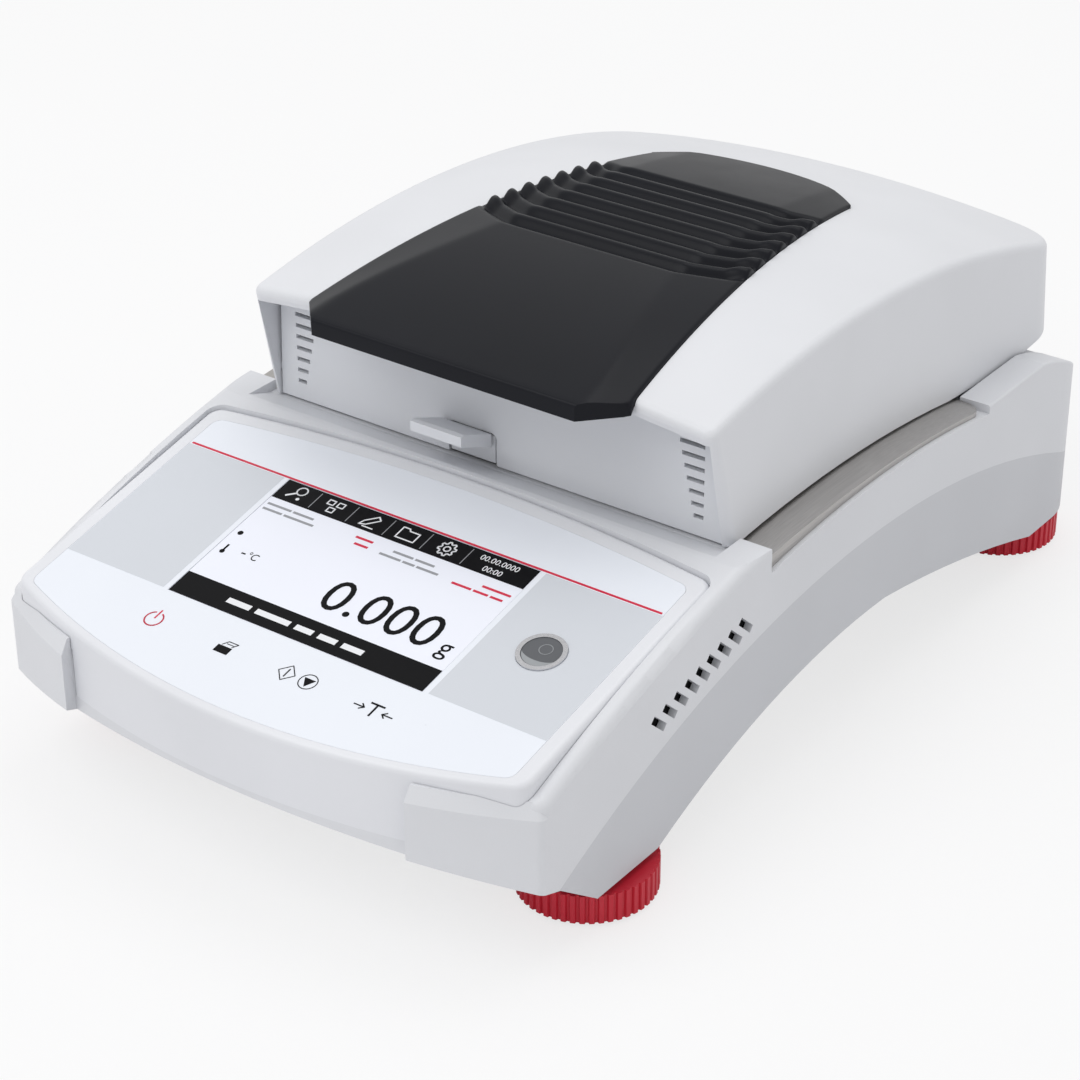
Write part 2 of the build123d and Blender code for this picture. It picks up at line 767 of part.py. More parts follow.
# Levelling feet: a ribbed wheel with its stud, on a rubber pad, in a brass insert
foot_names = ["front_left", "front_right", "rear_left", "rear_right"]
foot_top = foot_low_z + foot_height
rib_points = []
groove_radius = foot_radius - 0.8
rib_profile = [(0.0, foot_radius), (0.5, foot_radius), (0.62, groove_radius), (0.88, groove_radius)]
for n in range(foot_ribs):
    for part_turn, reach in rib_profile:
        angle = 2 * pi * (n + part_turn) / foot_ribs
        rib_points.append((reach * cos(angle), reach * sin(angle)))
wheel_plan = make_face(Polyline(*rib_points, close=True))
for name, (x, y) in zip(foot_names, foot_spots):
    wheel = upright(wheel_plan, foot_low_z, foot_top)
    wheel += tube(stud_radius, 0, foot_low_z + 1, stud_top_z)
    parts["foot_wheel_" + name] = Pos(x, y, 0) * wheel
    parts["foot_pad_" + name] = tube(pad_radius, 0, 0, pad_sheet, x, y)
    parts["foot_insert_" + name] = tube(
        insert_radius, stud_radius + thread_clearance, boss_z + 0.5, boss_z + insert_height, x, y
    )

# Lid: a crowned shell whose front is cut back to the skirt, leaving a fascia above it
lid_form = lid_solid(0)
crown_face = lid_form.faces().sort_by(Axis.Z)[-1]
lid_form = fillet(crown_face.edges(), lid_edge_radius)
lid_shell = (lid_form - lid_solid(lid_wall)) & lid_side()
mouth_half = skirt_half + 0.3
front_recess = block(-mouth_half, mouth_half, lid_front_y - 40, skirt_y + skirt_wall + 0.2, 60, 200)
lid_shell -= front_recess & roof(fascia)


def insert_outline(inset):
    front = insert_front_y + inset
    narrow = insert_front_half - 0.45 * inset
    rear = Polyline(
        (insert_side_half - inset, insert_side_y),
        (insert_wide_half - inset, insert_wide_y + 0.4 * inset),
        (narrow, front),
        (-narrow, front),
        (-(insert_wide_half - inset), insert_wide_y + 0.4 * inset),
        (-(insert_side_half - inset), insert_side_y),
    )
    bow = ThreePointArc(
        (-(insert_side_half - inset), insert_side_y),
        (0, insert_rear_y - inset),
        (insert_side_half - inset, insert_side_y),
    )
    return make_face(Curve() + rear + bow)


def insert_half(y):
    share = (y - insert_wide_y) / (insert_side_y - insert_wide_y)
    return insert_wide_half + share * (insert_side_half - insert_wide_half)


def roof_height(x, y):
    crown = crown_radius - sqrt(crown_radius ** 2 - x * x)
    reach = roof_radius - crown
    return roof_z - roof_radius + sqrt(reach * reach - (y - roof_y) ** 2)


def fold(y):
    """Half width of the insert's flat middle: wide at the front lip, narrow over the ribs."""
    stations = [(-80.0, 57.0), (11.0, 38.0), (81.0, 34.0), (140.0, 30.0)]
    for (y0, f0), (y1, f1) in zip(stations, stations[1:]):
        if y <= y1:
            return f0 + (f1 - f0) * (y - y0) / (y1 - y0)
    return stations[-1][1]


def insert_section(y):
    half = insert_half(y) + 6
    edge = roof_height(insert_half(y), y) + insert_step
    flat = fold(y)
    top = insert_top_z - (y - roof_y) ** 2 / insert_bow
    slide = (top - edge) / (insert_half(y) - flat)
    low = edge - 6 * slide
    points = [(-half, 100), (half, 100), (half, low), (flat, top), (-flat, top), (-half, low)]
    return Plane.XZ.offset(-y) * make_face(Polyline(*points, close=True))


insert_room = upright(insert_outline(-fit_gap), 60, 200)
lid_shell -= insert_room - roof(insert_rim - insert_step)
lid_shell -= upright(insert_outline(insert_seat), 60, 200) & block(-far, far, skirt_y + 8, far, 0, 200)
lid_post_spots = [(s * 86.0, y) for s in (-1, 1) for y in (-34.0, 138.0)]
lid_floor_top = lid_floor_z + skirt_wall
for x, y in lid_post_spots:
    lid_shell += tube(screw_post, screw_radius * 0.85, lid_floor_top, 160, x, y) & lid_solid(1.0)
parts["lid_outer_shell"] = lid_shell

# Ribbed vent insert
stations = [-80.0, -61.0, -20.0, 11.0, 45.0, 81.0, 110.0, 140.0]
insert_top = loft([insert_section(y) for y in stations], ruled=True)
insert = (upright(insert_outline(0), 60, 200) & insert_top) - roof(insert_rim - insert_step)
well = upright(insert_outline(insert_seat + fit_gap), 60, 200)
well &= block(-far, far, rib_y - 16, rib_y + rib_count * rib_pitch + 14, 0, 200)
insert += (well & insert_top & roof(0)) - roof(insert_deep)
lip = upright(insert_outline(0), insert_lip_z, 200) - upright(insert_outline(insert_lip_wall), 60, 200)
insert += lip & insert_top & block(-far, far, insert_front_y - 1, insert_wide_y + 2, 0, 200)


def rib_groove(y, length):
    """A transverse groove: straight over the middle, its ends swept to the rear and rounded."""
    half = rib_pitch / 2 - rib_width / 2
    spine = Polyline(
        (-length, y + rib_sweep),
        (-rib_fold, y),
        (rib_fold, y),
        (length, y + rib_sweep),
    )
    return trace(spine, 2 * half)


for n in range(rib_count + 1):
    y = rib_y + (n - 0.5) * rib_pitch
    length = insert_half(y) - 6.5
    groove = upright(rib_groove(y, length), 120, 200)
    insert -= groove - roof(rib_height - (insert_top_z - roof_z))
for n in range(rib_count + 1):
    y = rib_y + (n - 0.5) * rib_pitch
    insert -= block(-slot_half, slot_half, y - slot_width / 2, y + slot_width / 2, 120, 200)
parts["lid_vent_insert"] = insert

# Inner shell: front skirt with louvres and a notch, and the floor that carries the heater
skirt_top_half = skirt_half - (roof_z - skirt_low_z) * tan(radians(lid_side_draft))
skirt_lines = Polyline(
    (-skirt_half, skirt_low_z),
    (skirt_half, skirt_low_z),
    (skirt_top_half, roof_z),
    (-skirt_top_half, roof_z),
    close=True,
)
skirt = extrude(Plane.XZ.offset(-skirt_y) * make_face(skirt_lines), -skirt_wall) & roof(lid_wall + 0.1)
inner = skirt
floor_plan = lid_plan(lid_wall + 0.3, lid_floor_z).moved(Location((0, 0, -lid_floor_z)))
floor = upright(floor_plan, lid_floor_z, lid_floor_top)
inner += floor & block(-far, far, skirt_y, lid_floor_rear_y, 0, 200)
inner -= tube(lamp_window, 0, 90, 120, 0, chamber_y)
notch_top = 2.0
notch = block(
    notch_x - notch_width / 2, notch_x + notch_width / 2, skirt_y - 5, skirt_y + skirt_wall + 1, 90, notch_z
)
notch = fillet(notch.edges().filter_by(Axis.Y).sort_by(Axis.Z)[-2:], notch_top)
inner -= notch
neck_room = neck_width / 2 + 2
inner -= block(tab_x - neck_room, tab_x + neck_room, skirt_y + 2, chamber_y - 50, 100, lid_floor_top + 1)
for n in range(louvre_count):
    z = louvre_z - n * louvre_pitch - louvre_height / 2
    x0 = louvre_inner + n * louvre_step
    slot = block(x0, louvre_outer, skirt_y - 4, skirt_y + skirt_wall + 1, z, z + louvre_height)
    inner -= both_sides(slot)
for x, y in lid_post_spots:
    inner -= tube(screw_radius + 0.2, 0, 90, 120, x, y)
arm_screws = [(s * hinge_x + d, 138.0) for s in (-1, 1) for d in (-5.0, 5.0)]
for x, y in arm_screws:
    inner -= tube(screw_radius * 0.85, 0, 90, 120, x, y)
parts["lid_inner_shell"] = inner

# Heater: glass on the floor's rim, a ring lamp under a pressed reflector
glass_top = lid_floor_top + glass_sheet
parts["protective_glass"] = tube(glass_radius, 0, lid_floor_top, glass_top, 0, chamber_y)
retainer_points = [
    (lamp_window, glass_top + 0.05),
    (glass_radius + 0.3, glass_top + 0.05),
    (glass_radius + 0.3, lid_floor_top),
    (retainer_radius, lid_floor_top),
    (retainer_radius, glass_top + 1.5),
    (lamp_window, glass_top + 1.5),
]
parts["glass_retainer_ring"] = spun(retainer_points, 0, chamber_y)
reflector_low = glass_top + 1.5
reflector_half = retainer_radius - 2.0
reflector_points = [
    (0, reflector_z),
    (reflector_half - 12, reflector_z),
    (reflector_half, reflector_z - 10),
    (reflector_half, reflector_low),
    (reflector_half - reflector_sheet, reflector_low),
    (reflector_half - reflector_sheet, reflector_z - 10.4),
    (reflector_half - 12.4, reflector_z - reflector_sheet),
    (0, reflector_z - reflector_sheet),
]
parts["lamp_reflector"] = spun(reflector_points, 0, chamber_y)
parts["halogen_lamp"] = Pos(0, chamber_y, lamp_z) * Torus(lamp_radius, lamp_tube)
for s, name in ((-1, "left"), (1, "right")):
    mid = s * lamp_radius
    parts["lamp_holder_" + name] = block(
        mid - 4, mid + 4, chamber_y - 6, chamber_y + 6, lamp_z + lamp_tube, reflector_z - reflector_sheet
    )
sensor = rod_x(1.25, -66, -44, chamber_y, lid_floor_z - 1.6)
sensor += block(-68, -lamp_window - 2, chamber_y - 3, chamber_y + 3, lid_floor_z - 3.2, lid_floor_z)
parts["temperature_sensor"] = sensor

# Hinges
for s, name in ((-1, "left"), (1, "right")):
    mid = s * hinge_x
    inner_face = barrel_width / 2 + hinge_side_gap
    seat_z = hinge_z - ear_radius - 3.0
    bracket = block(
        mid - inner_face - ear_width,
        mid + inner_face + ear_width,
        hinge_y - ear_radius,
        hinge_y + ear_radius,
        seat_z,
        seat_z + 2.0,
    )
    for side in (-1, 1):
        low = mid + side * (inner_face + ear_width / 2) - ear_width / 2
        bracket += block(low, low + ear_width, hinge_y - ear_radius, hinge_y + ear_radius, seat_z, hinge_z)
        bracket += rod_x(ear_radius, low, low + ear_width, hinge_y, hinge_z)
    bracket -= rod_x(pin_radius, mid - 20, mid + 20, hinge_y, hinge_z)
    parts["hinge_bracket_" + name] = bracket
    pin_half = inner_face + ear_width
    parts["hinge_pin_" + name] = rod_x(pin_radius, mid - pin_half, mid + pin_half, hinge_y, hinge_z)
    arm_lines = Polyline(
        (hinge_y + 2, hinge_z + 3),
        (arm_flange_y + 24, lid_floor_z),
        (arm_flange_y, lid_floor_z),
        (arm_flange_y, arm_flange_z),
        (arm_flange_y + 20, arm_flange_z),
        (hinge_y - 4.5, hinge_z + 1),
        close=True,
    )
    arm = Pos(mid, 0, 0) * across(arm_lines, barrel_width / 2)
    arm += rod_x(barrel_radius, mid - barrel_width / 2, mid + barrel_width / 2, hinge_y, hinge_z)
    arm -= rod_x(pin_radius + pin_clearance, mid - 30, mid + 30, hinge_y, hinge_z)
    for x, y in arm_screws:
        arm -= tube(screw_radius + 0.2, 0, arm_flange_z - 5, lid_floor_z + 1, x, y)
    parts["lid_hinge_arm_" + name] = arm

# Rear connector plate with its sockets
inlet_z = (port_low_z + port_high_z) / 2
plate = block(-port_half, port_half, rear_y - port_sheet, rear_y, port_low_z + 0.2, port_high_z - 0.2)
inlet_low_z = inlet_z - inlet_h / 2
inlet_rear = rear_y - inlet_depth
inlet_body = block(
    inlet_x - inlet_w / 2, inlet_x + inlet_w / 2, inlet_rear, rear_y, inlet_low_z, inlet_low_z + inlet_h
)
plate -= inlet_body
serial_body = block(serial_x - 10, serial_x + 10, rear_y - 10, rear_y, inlet_z - 6, inlet_z + 6)
plate -= serial_body
usb_bodies = [block(x - 7, x + 7, rear_y - 14, rear_y, inlet_z - 3.5, inlet_z + 3.5) for x in usb_x]
for body in usb_bodies:
    plate -= body
parts["connector_plate"] = plate
inlet = inlet_body - block(
    inlet_x - inlet_w / 2 + inlet_wall,
    inlet_x + inlet_w / 2 - inlet_wall,
    inlet_rear + 2 * inlet_wall,
    rear_y + 1,
    inlet_low_z + inlet_wall,
    inlet_low_z + inlet_h - inlet_wall,
)
for x, z in ((-6.5, 2.0), (6.5, 2.0), (0.0, -3.0)):
    pin_x = inlet_x + x
    pin_z = inlet_z + z
    inlet += block(pin_x - 1, pin_x + 1, inlet_rear + 2, rear_y - 4, pin_z - 2, pin_z + 2)
parts["power_inlet"] = inlet
serial = serial_body - block(serial_x - 8, serial_x + 8, rear_y - 6, rear_y + 1, inlet_z - 4, inlet_z + 4)
parts["serial_port"] = serial
for number, x in enumerate(usb_x, 1):
    socket = block(x - 6, x + 6, rear_y - 10, rear_y + 1, inlet_z - 2.5, inlet_z + 2.5)
    parts["usb_port_%d" % number] = usb_bodies[number - 1] - socket

supply = block(-80, 20, 88, 154, supply_z, supply_z + board_sheet)
supply += block(-70, -34, 100, 130, supply_z + board_sheet, supply_z + board_sheet + 14)
supply += block(-20, 0, 100, 120, supply_z + board_sheet, supply_z + board_sheet + 10)
parts["power_supply_board"] = supply

os.makedirs("parts", exist_ok=True)
for name, shape in parts.items():
    export_step(shape, "parts/" + name + ".step")
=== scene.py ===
import bpy
import bmesh
from math import sin, cos, radians, pi, sqrt
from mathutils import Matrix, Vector


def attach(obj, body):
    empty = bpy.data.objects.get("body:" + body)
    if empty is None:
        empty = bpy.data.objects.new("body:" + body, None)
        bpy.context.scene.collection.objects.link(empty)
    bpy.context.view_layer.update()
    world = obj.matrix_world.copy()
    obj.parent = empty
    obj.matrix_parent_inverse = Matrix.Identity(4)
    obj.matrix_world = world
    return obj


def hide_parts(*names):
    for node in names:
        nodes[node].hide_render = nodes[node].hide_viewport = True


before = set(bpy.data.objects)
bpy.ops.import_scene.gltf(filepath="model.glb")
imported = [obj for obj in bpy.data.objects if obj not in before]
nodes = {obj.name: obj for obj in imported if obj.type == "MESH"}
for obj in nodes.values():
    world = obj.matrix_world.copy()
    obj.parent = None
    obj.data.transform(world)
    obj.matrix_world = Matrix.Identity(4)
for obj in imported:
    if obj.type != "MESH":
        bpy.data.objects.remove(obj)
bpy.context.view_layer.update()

# Shapes are drawn in millimetres and scaled when a vertex is made
MM = 0.001

# The console's plane: u to the right, v up the slope, w off the surface
TILT = radians(12.54)
PANEL = Vector((0.0, -121.9, 83.35))


def at(x, y, z):
    return Vector((x, y, z)) * MM


def on_panel(u, v, w=0.0):
    y = PANEL.y + v * cos(TILT) - w * sin(TILT)
    z = PANEL.z + v * sin(TILT) + w * cos(TILT)
    return at(u, y, z)


# Material makers
def new_material(name):
    mat = bpy.data.materials.new(name)
    mat.use_nodes = True
    tree = mat.node_tree
    shader = tree.nodes["Principled BSDF"]
    return mat, tree, shader


def coords(tree):
    return tree.nodes.new("ShaderNodeTexCoord").outputs["Object"]


def noise(tree, scale, detail=3.0, roughness=0.5):
    node = tree.nodes.new("ShaderNodeTexNoise")
    node.inputs["Scale"].default_value = scale
    node.inputs["Detail"].default_value = detail
    node.inputs["Roughness"].default_value = roughness
    tree.links.new(coords(tree), node.inputs["Vector"])
    return node


def ramp(tree, source, low, high, at=(0.3, 0.7)):
    node = tree.nodes.new("ShaderNodeValToRGB")
    node.color_ramp.elements[0].position = at[0]
    node.color_ramp.elements[0].color = (*low, 1)
    node.color_ramp.elements[1].position = at[1]
    node.color_ramp.elements[1].color = (*high, 1)
    tree.links.new(source, node.inputs["Fac"])
    return node


def spread(tree, source, middle, reach, socket):
    """Drives a socket from a noise, between middle - reach and middle + reach."""
    span = tree.nodes.new("ShaderNodeMapRange")
    span.inputs["To Min"].default_value = middle - reach
    span.inputs["To Max"].default_value = middle + reach
    tree.links.new(source, span.inputs["Value"])
    tree.links.new(span.outputs["Result"], socket)


def add_bump(tree, shader, source, strength, distance):
    bump = tree.nodes.new("ShaderNodeBump")
    bump.inputs["Strength"].default_value = strength
    bump.inputs["Distance"].default_value = distance
    tree.links.new(source, bump.inputs["Height"])
    tree.links.new(bump.outputs["Normal"], shader.inputs["Normal"])


def shade(colour, k):
    return tuple(min(1.0, c * k) for c in colour)


def plastic(name, colour, rough=0.42, vary=0.03, grain=1800.0, bump=0.12, shine=0.5):
    """Moulded plastic: a fine spark-eroded grain, and a faint cloudiness in colour and gloss."""
    mat, tree, shader = new_material(name)
    cloud = noise(tree, 14.0, 2.0)
    tint = ramp(tree, cloud.outputs["Fac"], shade(colour, 1 - vary), shade(colour, 1 + vary))
    tree.links.new(tint.outputs["Color"], shader.inputs["Base Color"])
    gloss = noise(tree, 60.0, 4.0)
    spread(tree, gloss.outputs["Fac"], rough, 0.05, shader.inputs["Roughness"])
    shader.inputs["IOR"].default_value = 1.46
    shader.inputs["Specular IOR Level"].default_value = shine
    fine = noise(tree, grain, 2.0, 0.6)
    add_bump(tree, shader, fine.outputs["Fac"], bump, 0.0002)
    return mat


def printed(name, colour, rough, vary=0.03, bump=0.03, shine=0.5):
    """Ink or film: smooth plastic with the finest grain."""
    return plastic(name, colour, rough, vary, 2600.0, bump, shine)


def metal(name, colour, rough=0.3, brush=(900.0, 900.0, 900.0), vary=0.08):
    """Metal with a brushed grain: a low scale along one axis draws the lines out along it."""
    mat, tree, shader = new_material(name)
    place = tree.nodes.new("ShaderNodeMapping")
    place.inputs["Scale"].default_value = brush
    tree.links.new(coords(tree), place.inputs["Vector"])
    lines = tree.nodes.new("ShaderNodeTexNoise")
    lines.inputs["Scale"].default_value = 1.0
    lines.inputs["Detail"].default_value = 3.0
    tree.links.new(place.outputs["Vector"], lines.inputs["Vector"])
    tint = ramp(tree, lines.outputs["Fac"], shade(colour, 1 - vary), shade(colour, 1 + vary))
    tree.links.new(tint.outputs["Color"], shader.inputs["Base Color"])
    spread(tree, lines.outputs["Fac"], rough, 0.08, shader.inputs["Roughness"])
    shader.inputs["Metallic"].default_value = 1.0
    add_bump(tree, shader, lines.outputs["Fac"], 0.08, 0.0001)
    return mat


def clear(name, colour, rough=0.03):
    """Clear glass with a faint tint."""
    mat, tree, shader = new_material(name)
    tint = ramp(tree, noise(tree, 30.0).outputs["Fac"], shade(colour, 0.98), colour)
    tree.links.new(tint.outputs["Color"], shader.inputs["Base Color"])
    shader.inputs["Roughness"].default_value = rough
    shader.inputs["Transmission Weight"].default_value = 1.0
    shader.inputs["IOR"].default_value = 1.5
    return mat


# Housings
upper_mat = plastic("housing_white", (0.69, 0.70, 0.73), 0.40)
lower_mat = plastic("housing_grey", (0.58, 0.59, 0.62), 0.42)
lid_mat = plastic("lid_white", (0.71, 0.72, 0.75), 0.36)
skirt_mat = plastic("skirt_white", (0.72, 0.735, 0.77), 0.42)
console_mat = plastic("console_white", (0.74, 0.75, 0.785), 0.38)
black_mat = plastic("insert_black", (0.0075, 0.0082, 0.0115), 0.30, 0.12, 1500.0, 0.06, 0.16)

# Print, film and display
film_mat = printed("overlay_film", (0.80, 0.83, 0.89), 0.30, 0.01, 0.04)
film_grey = printed("overlay_grey", (0.62, 0.645, 0.69), 0.32, 0.01, 0.04)
ink_black = printed("ink_black", (0.004, 0.004, 0.005), 0.40, 0.05, 0.03, 0.12)
ink_red = printed("ink_red", (0.62, 0.02, 0.06), 0.34, 0.04)
ink_grey = printed("ink_grey", (0.30, 0.31, 0.33), 0.34)
ink_white = printed("ink_white", (0.80, 0.81, 0.84), 0.30, 0.02)
screen_mat = printed("screen_white", (0.84, 0.86, 0.94), 0.18, 0.01, 0.01)
vial_mat = plastic("vial_dark", (0.115, 0.12, 0.13), 0.22, 0.12, 300.0, 0.01, 0.3)
liquid_mat = plastic("level_liquid", (0.33, 0.345, 0.36), 0.25, 0.08, 300.0, 0.01, 0.3)

# Feet and inner parts
foot_mat = plastic("foot_red", (0.58, 0.020, 0.040), 0.38, 0.06, 1500.0, 0.10)
rubber_mat = plastic("pad_rubber", (0.03, 0.03, 0.032), 0.75, 0.2, 900.0, 0.3)
# Black of the power inlet, also used as painted shade behind the side vents
dark_mat = plastic("black_and_painted_shade", (0.006, 0.006, 0.007), 0.6, 0.2, 900.0, 0.1, 0.15)
board_mat = plastic("board_green", (0.02, 0.16, 0.07), 0.35, 0.10, 700.0, 0.2)
ceramic_mat = plastic("ceramic", (0.78, 0.76, 0.70), 0.25, 0.03, 900.0, 0.05)
steel_mat = metal("tray_steel", (0.50, 0.485, 0.47), 0.36, (2500.0, 30.0, 2500.0))
bright_mat = metal("bright_steel", (0.66, 0.66, 0.68), 0.20, (1200.0, 1200.0, 60.0), 0.05)
zinc_mat = metal("hinge_zinc", (0.42, 0.42, 0.44), 0.40)
alloy_mat = metal("cell_alloy", (0.62, 0.63, 0.65), 0.34, (60.0, 2000.0, 2000.0))
brass_mat = metal("brass", (0.62, 0.43, 0.16), 0.32)
glass_mat = clear("heater_glass", (0.96, 0.98, 0.97))

# The material of each CAD node, by the start of its name; the first match counts
LOOKS = (
    ("base_upper_housing", upper_mat),
    ("base_lower_housing", lower_mat),
    ("console_housing", console_mat),
    ("control_overlay", film_mat),
    ("display_module", screen_mat),
    ("main_board", board_mat),
    ("key_board", board_mat),
    ("power_supply_board", board_mat),
    ("key_", ink_white),
    ("level_ring", bright_mat),
    ("level_vial", vial_mat),
    ("chamber_tray", steel_mat),
    ("heat_shield_cup", steel_mat),
    ("draft_shield", steel_mat),
    ("glass_retainer_ring", steel_mat),
    ("temperature_sensor", steel_mat),
    ("load_cell", alloy_mat),
    ("base_frame", alloy_mat),
    ("sample_pan", alloy_mat),
    ("connector_plate", alloy_mat),
    ("serial_port", bright_mat),
    ("usb_port", bright_mat),
    ("power_inlet", dark_mat),
    ("pan_support", bright_mat),
    ("pan_handler_grip", skirt_mat),
    ("pan_handler", bright_mat),
    ("lid_outer_shell", lid_mat),
    ("lid_vent_insert", black_mat),
    ("lid_inner_shell", skirt_mat),
    ("lid_hinge_arm", zinc_mat),
    ("hinge_", zinc_mat),
    ("lamp_reflector", bright_mat),
    ("lamp_holder", ceramic_mat),
    ("halogen_lamp", glass_mat),
    ("protective_glass", glass_mat),
    ("foot_wheel", foot_mat),
    ("foot_pad", rubber_mat),
    ("foot_insert", brass_mat),
)
for name, obj in nodes.items():
    fitting = [mat for start, mat in LOOKS if name.startswith(start)]
    obj.data.materials.clear()
    obj.data.materials.append(fitting[0])


# Piece makers
def make_piece(name, mesh, material, body="base"):
    obj = bpy.data.objects.new(name, mesh)
    bpy.context.scene.collection.objects.link(obj)
    mesh.materials.append(material)
    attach(obj, body)
    return obj


def prisms(name, outlines, low, high, material):
    """Thin print on the console: each outline (u, v) becomes a closed prism between two heights."""
    bm = bmesh.new()
    for outline in outlines:
        under = [bm.verts.new(on_panel(u, v, low)) for u, v in outline]
        over = [bm.verts.new(on_panel(u, v, high)) for u, v in outline]
        bm.faces.new(over)
        bm.faces.new(under[::-1])
        count = len(outline)
        for n in range(count):
            m = (n + 1) % count
            bm.faces.new((under[n], under[m], over[m], over[n]))
    bmesh.ops.recalc_face_normals(bm, faces=bm.faces)
    bmesh.ops.triangulate(bm, faces=[f for f in bm.faces if len(f.verts) > 4])
    mesh = bpy.data.meshes.new(name)
    bm.to_mesh(mesh)
    bm.free()
    return make_piece(name, mesh, material)


def plate(name, low, high, material):
    """A thin closed plate with softened edges between two corners."""
    bm = bmesh.new()
    bmesh.ops.create_cube(bm, size=1.0)
    for vert in bm.verts:
        vert.co = Vector([(a + b) / 2 + c * (b - a) for a, b, c in zip(low, high, vert.co)]) * MM
    bmesh.ops.bevel(bm, geom=bm.edges, offset=0.0003, segments=2, profile=0.5, affect="EDGES")
    mesh = bpy.data.meshes.new(name)
    bm.to_mesh(mesh)
    bm.free()
    return make_piece(name, mesh, material)


def lettering(name, text, u, v, height, material, w, stretch=1.0):
    """Generic digits and unit signs, laid flat on the console with their foot at v."""
    capital_share = 0.70
    curve = bpy.data.curves.new(name + "_curve", "FONT")
    curve.body = text
    curve.size = height / capital_share * MM
    curve.align_x = "CENTER"
    curve.extrude = 0.02 * MM
    curve.resolution_u = 4
    temp = bpy.data.objects.new(name + "_temp", curve)
    bpy.context.scene.collection.objects.link(temp)
    solid = temp.evaluated_get(bpy.context.evaluated_depsgraph_get())
    mesh = bpy.data.meshes.new_from_object(solid)
    bpy.data.objects.remove(temp)
    bpy.data.curves.remove(curve)
    for vert in mesh.vertices:
        flat = vert.co / MM
        vert.co = on_panel(u + flat.x * stretch, v + flat.y, w + flat.z)
    mesh.materials.clear()
    mesh.name = name
    return make_piece(name, mesh, material)


# Outlines on the console
def box(u0, v0, u1, v1):
    return [(u0, v0), (u1, v0), (u1, v1), (u0, v1)]


def arc(u, v, r, start, end, count=20):
    turns = [radians(start + (end - start) * n / count) for n in range(count + 1)]
    return [(u + r * cos(turn), v + r * sin(turn)) for turn in turns]


def disc(u, v, r, count=24):
    return arc(u, v, r, 0, 360, count)[:-1]


def stroke(points, width):
    """A line of boxes between the points, each run a little past its ends."""
    shapes = []
    half = width / 2
    past = half * 0.6
    for (u0, v0), (u1, v1) in zip(points, points[1:]):
        length = sqrt((u1 - u0) ** 2 + (v1 - v0) ** 2)
        du = (u1 - u0) / length
        dv = (v1 - v0) / length
        shapes.append([
            (u0 - dv * half - du * past, v0 + du * half - dv * past),
            (u0 + dv * half - du * past, v0 - du * half - dv * past),
            (u1 + dv * half + du * past, v1 - du * half + dv * past),
            (u1 - dv * half + du * past, v1 + du * half + dv * past),
        ])
    return shapes


def ring(u, v, r, width, count=24):
    return stroke(arc(u, v, r, 0, 360, count), width)


def words(u, v, lengths, height=1.0, gap=0.9):
    """A row of plain bars that stand for words."""
    made = []
    for length in lengths:
        made.append(box(u, v, u + length, v + height))
        u += length + gap
    return made


# The lid's black insert: its outline as pairs of y and half width, and the roof it lies on
INSERT_FRONT = (-74.8, 55.3)
INSERT_WIDE = (-61.2, 67.8)
INSERT_SIDE = (115.0, 44.3)
INSERT_REAR_Y = 131.0
INSERT_TOP_Z = 157.0
INSERT_LIP_Z = 139.5
INSERT_STEP = 1.2
INSERT_SHEET = 1.8
LIP_WALL = 2.5
LIP_END_Y = -59.2
RIM_RADIUS = 1.0
FOLD_SOFTNESS = 1.2
ROOF_Y = 28.0
ROOF_Z = 155.3
ROOF_RADIUS = 460.0
CROWN_RADIUS = 676.0

# Its ribs: they bend to the rear past the fold and stand up a little at their rounded ends
RIB_Y = 18.0
RIB_PITCH = 9.5
RIB_COUNT = 7
RIB_DEPTH = 3.0
RIB_FOLD = 37.0
RIB_SLANT = 7.5 / 13.0
RIB_END_RISE = 1.5


def smooth_step(value):
    value = min(1.0, max(0.0, value))
    return value * value * (3 - 2 * value)


def soft_ramp(value, softness):
    """Zero below nought and the value above it, with a rounded corner."""
    return 0.5 * (value + sqrt(value * value + softness * softness))


def between(y, first, second):
    share = (y - first[0]) / (second[0] - first[0])
    return first[1] + share * (second[1] - first[1])


def insert_half(y):
    """Half width of the insert: a widening front, straight sides and a bowed rear."""
    if y <= INSERT_WIDE[0]:
        return between(y, INSERT_FRONT, INSERT_WIDE)
    if y <= INSERT_SIDE[0]:
        return between(y, INSERT_WIDE, INSERT_SIDE)
    rise = INSERT_REAR_Y - INSERT_SIDE[0]
    radius = (INSERT_SIDE[1] ** 2 + rise ** 2) / (2 * rise)
    return sqrt(max(0.0, radius ** 2 - (y - INSERT_REAR_Y + radius) ** 2))


def insert_fold(y):
    """Half width of the flat middle, which narrows to the rear."""
    return 31.0 + 26.5 * smooth_step((40.0 - y) / 135.0) + 3.0 * smooth_step((140.0 - y) / 100.0)


def roof_height(x, y):
    crown = CROWN_RADIUS - sqrt(CROWN_RADIUS ** 2 - x * x)
    return ROOF_Z - ROOF_RADIUS + sqrt((ROOF_RADIUS - crown) ** 2 - (y - ROOF_Y) ** 2)


def rib_relief(side, y, gap):
    """Height of the ribs and grooves against the smooth top; gap is the distance to the rim."""
    swept = y - RIB_SLANT * soft_ramp(side - RIB_FOLD, 1.0)
    turn = (swept - RIB_Y) / RIB_PITCH + 0.5
    if not -0.5 < turn < RIB_COUNT + 0.5:
        return 0.0
    groove = (0.5 + 0.5 * cos(2 * pi * turn)) ** 1.3
    relief = -RIB_DEPTH * groove * (0.35 + 0.65 * smooth_step(gap / 7.0))
    if 0 < turn < RIB_COUNT:
        relief += RIB_END_RISE * (1 - groove) * smooth_step((9.0 - gap) / 6.0)
    return relief


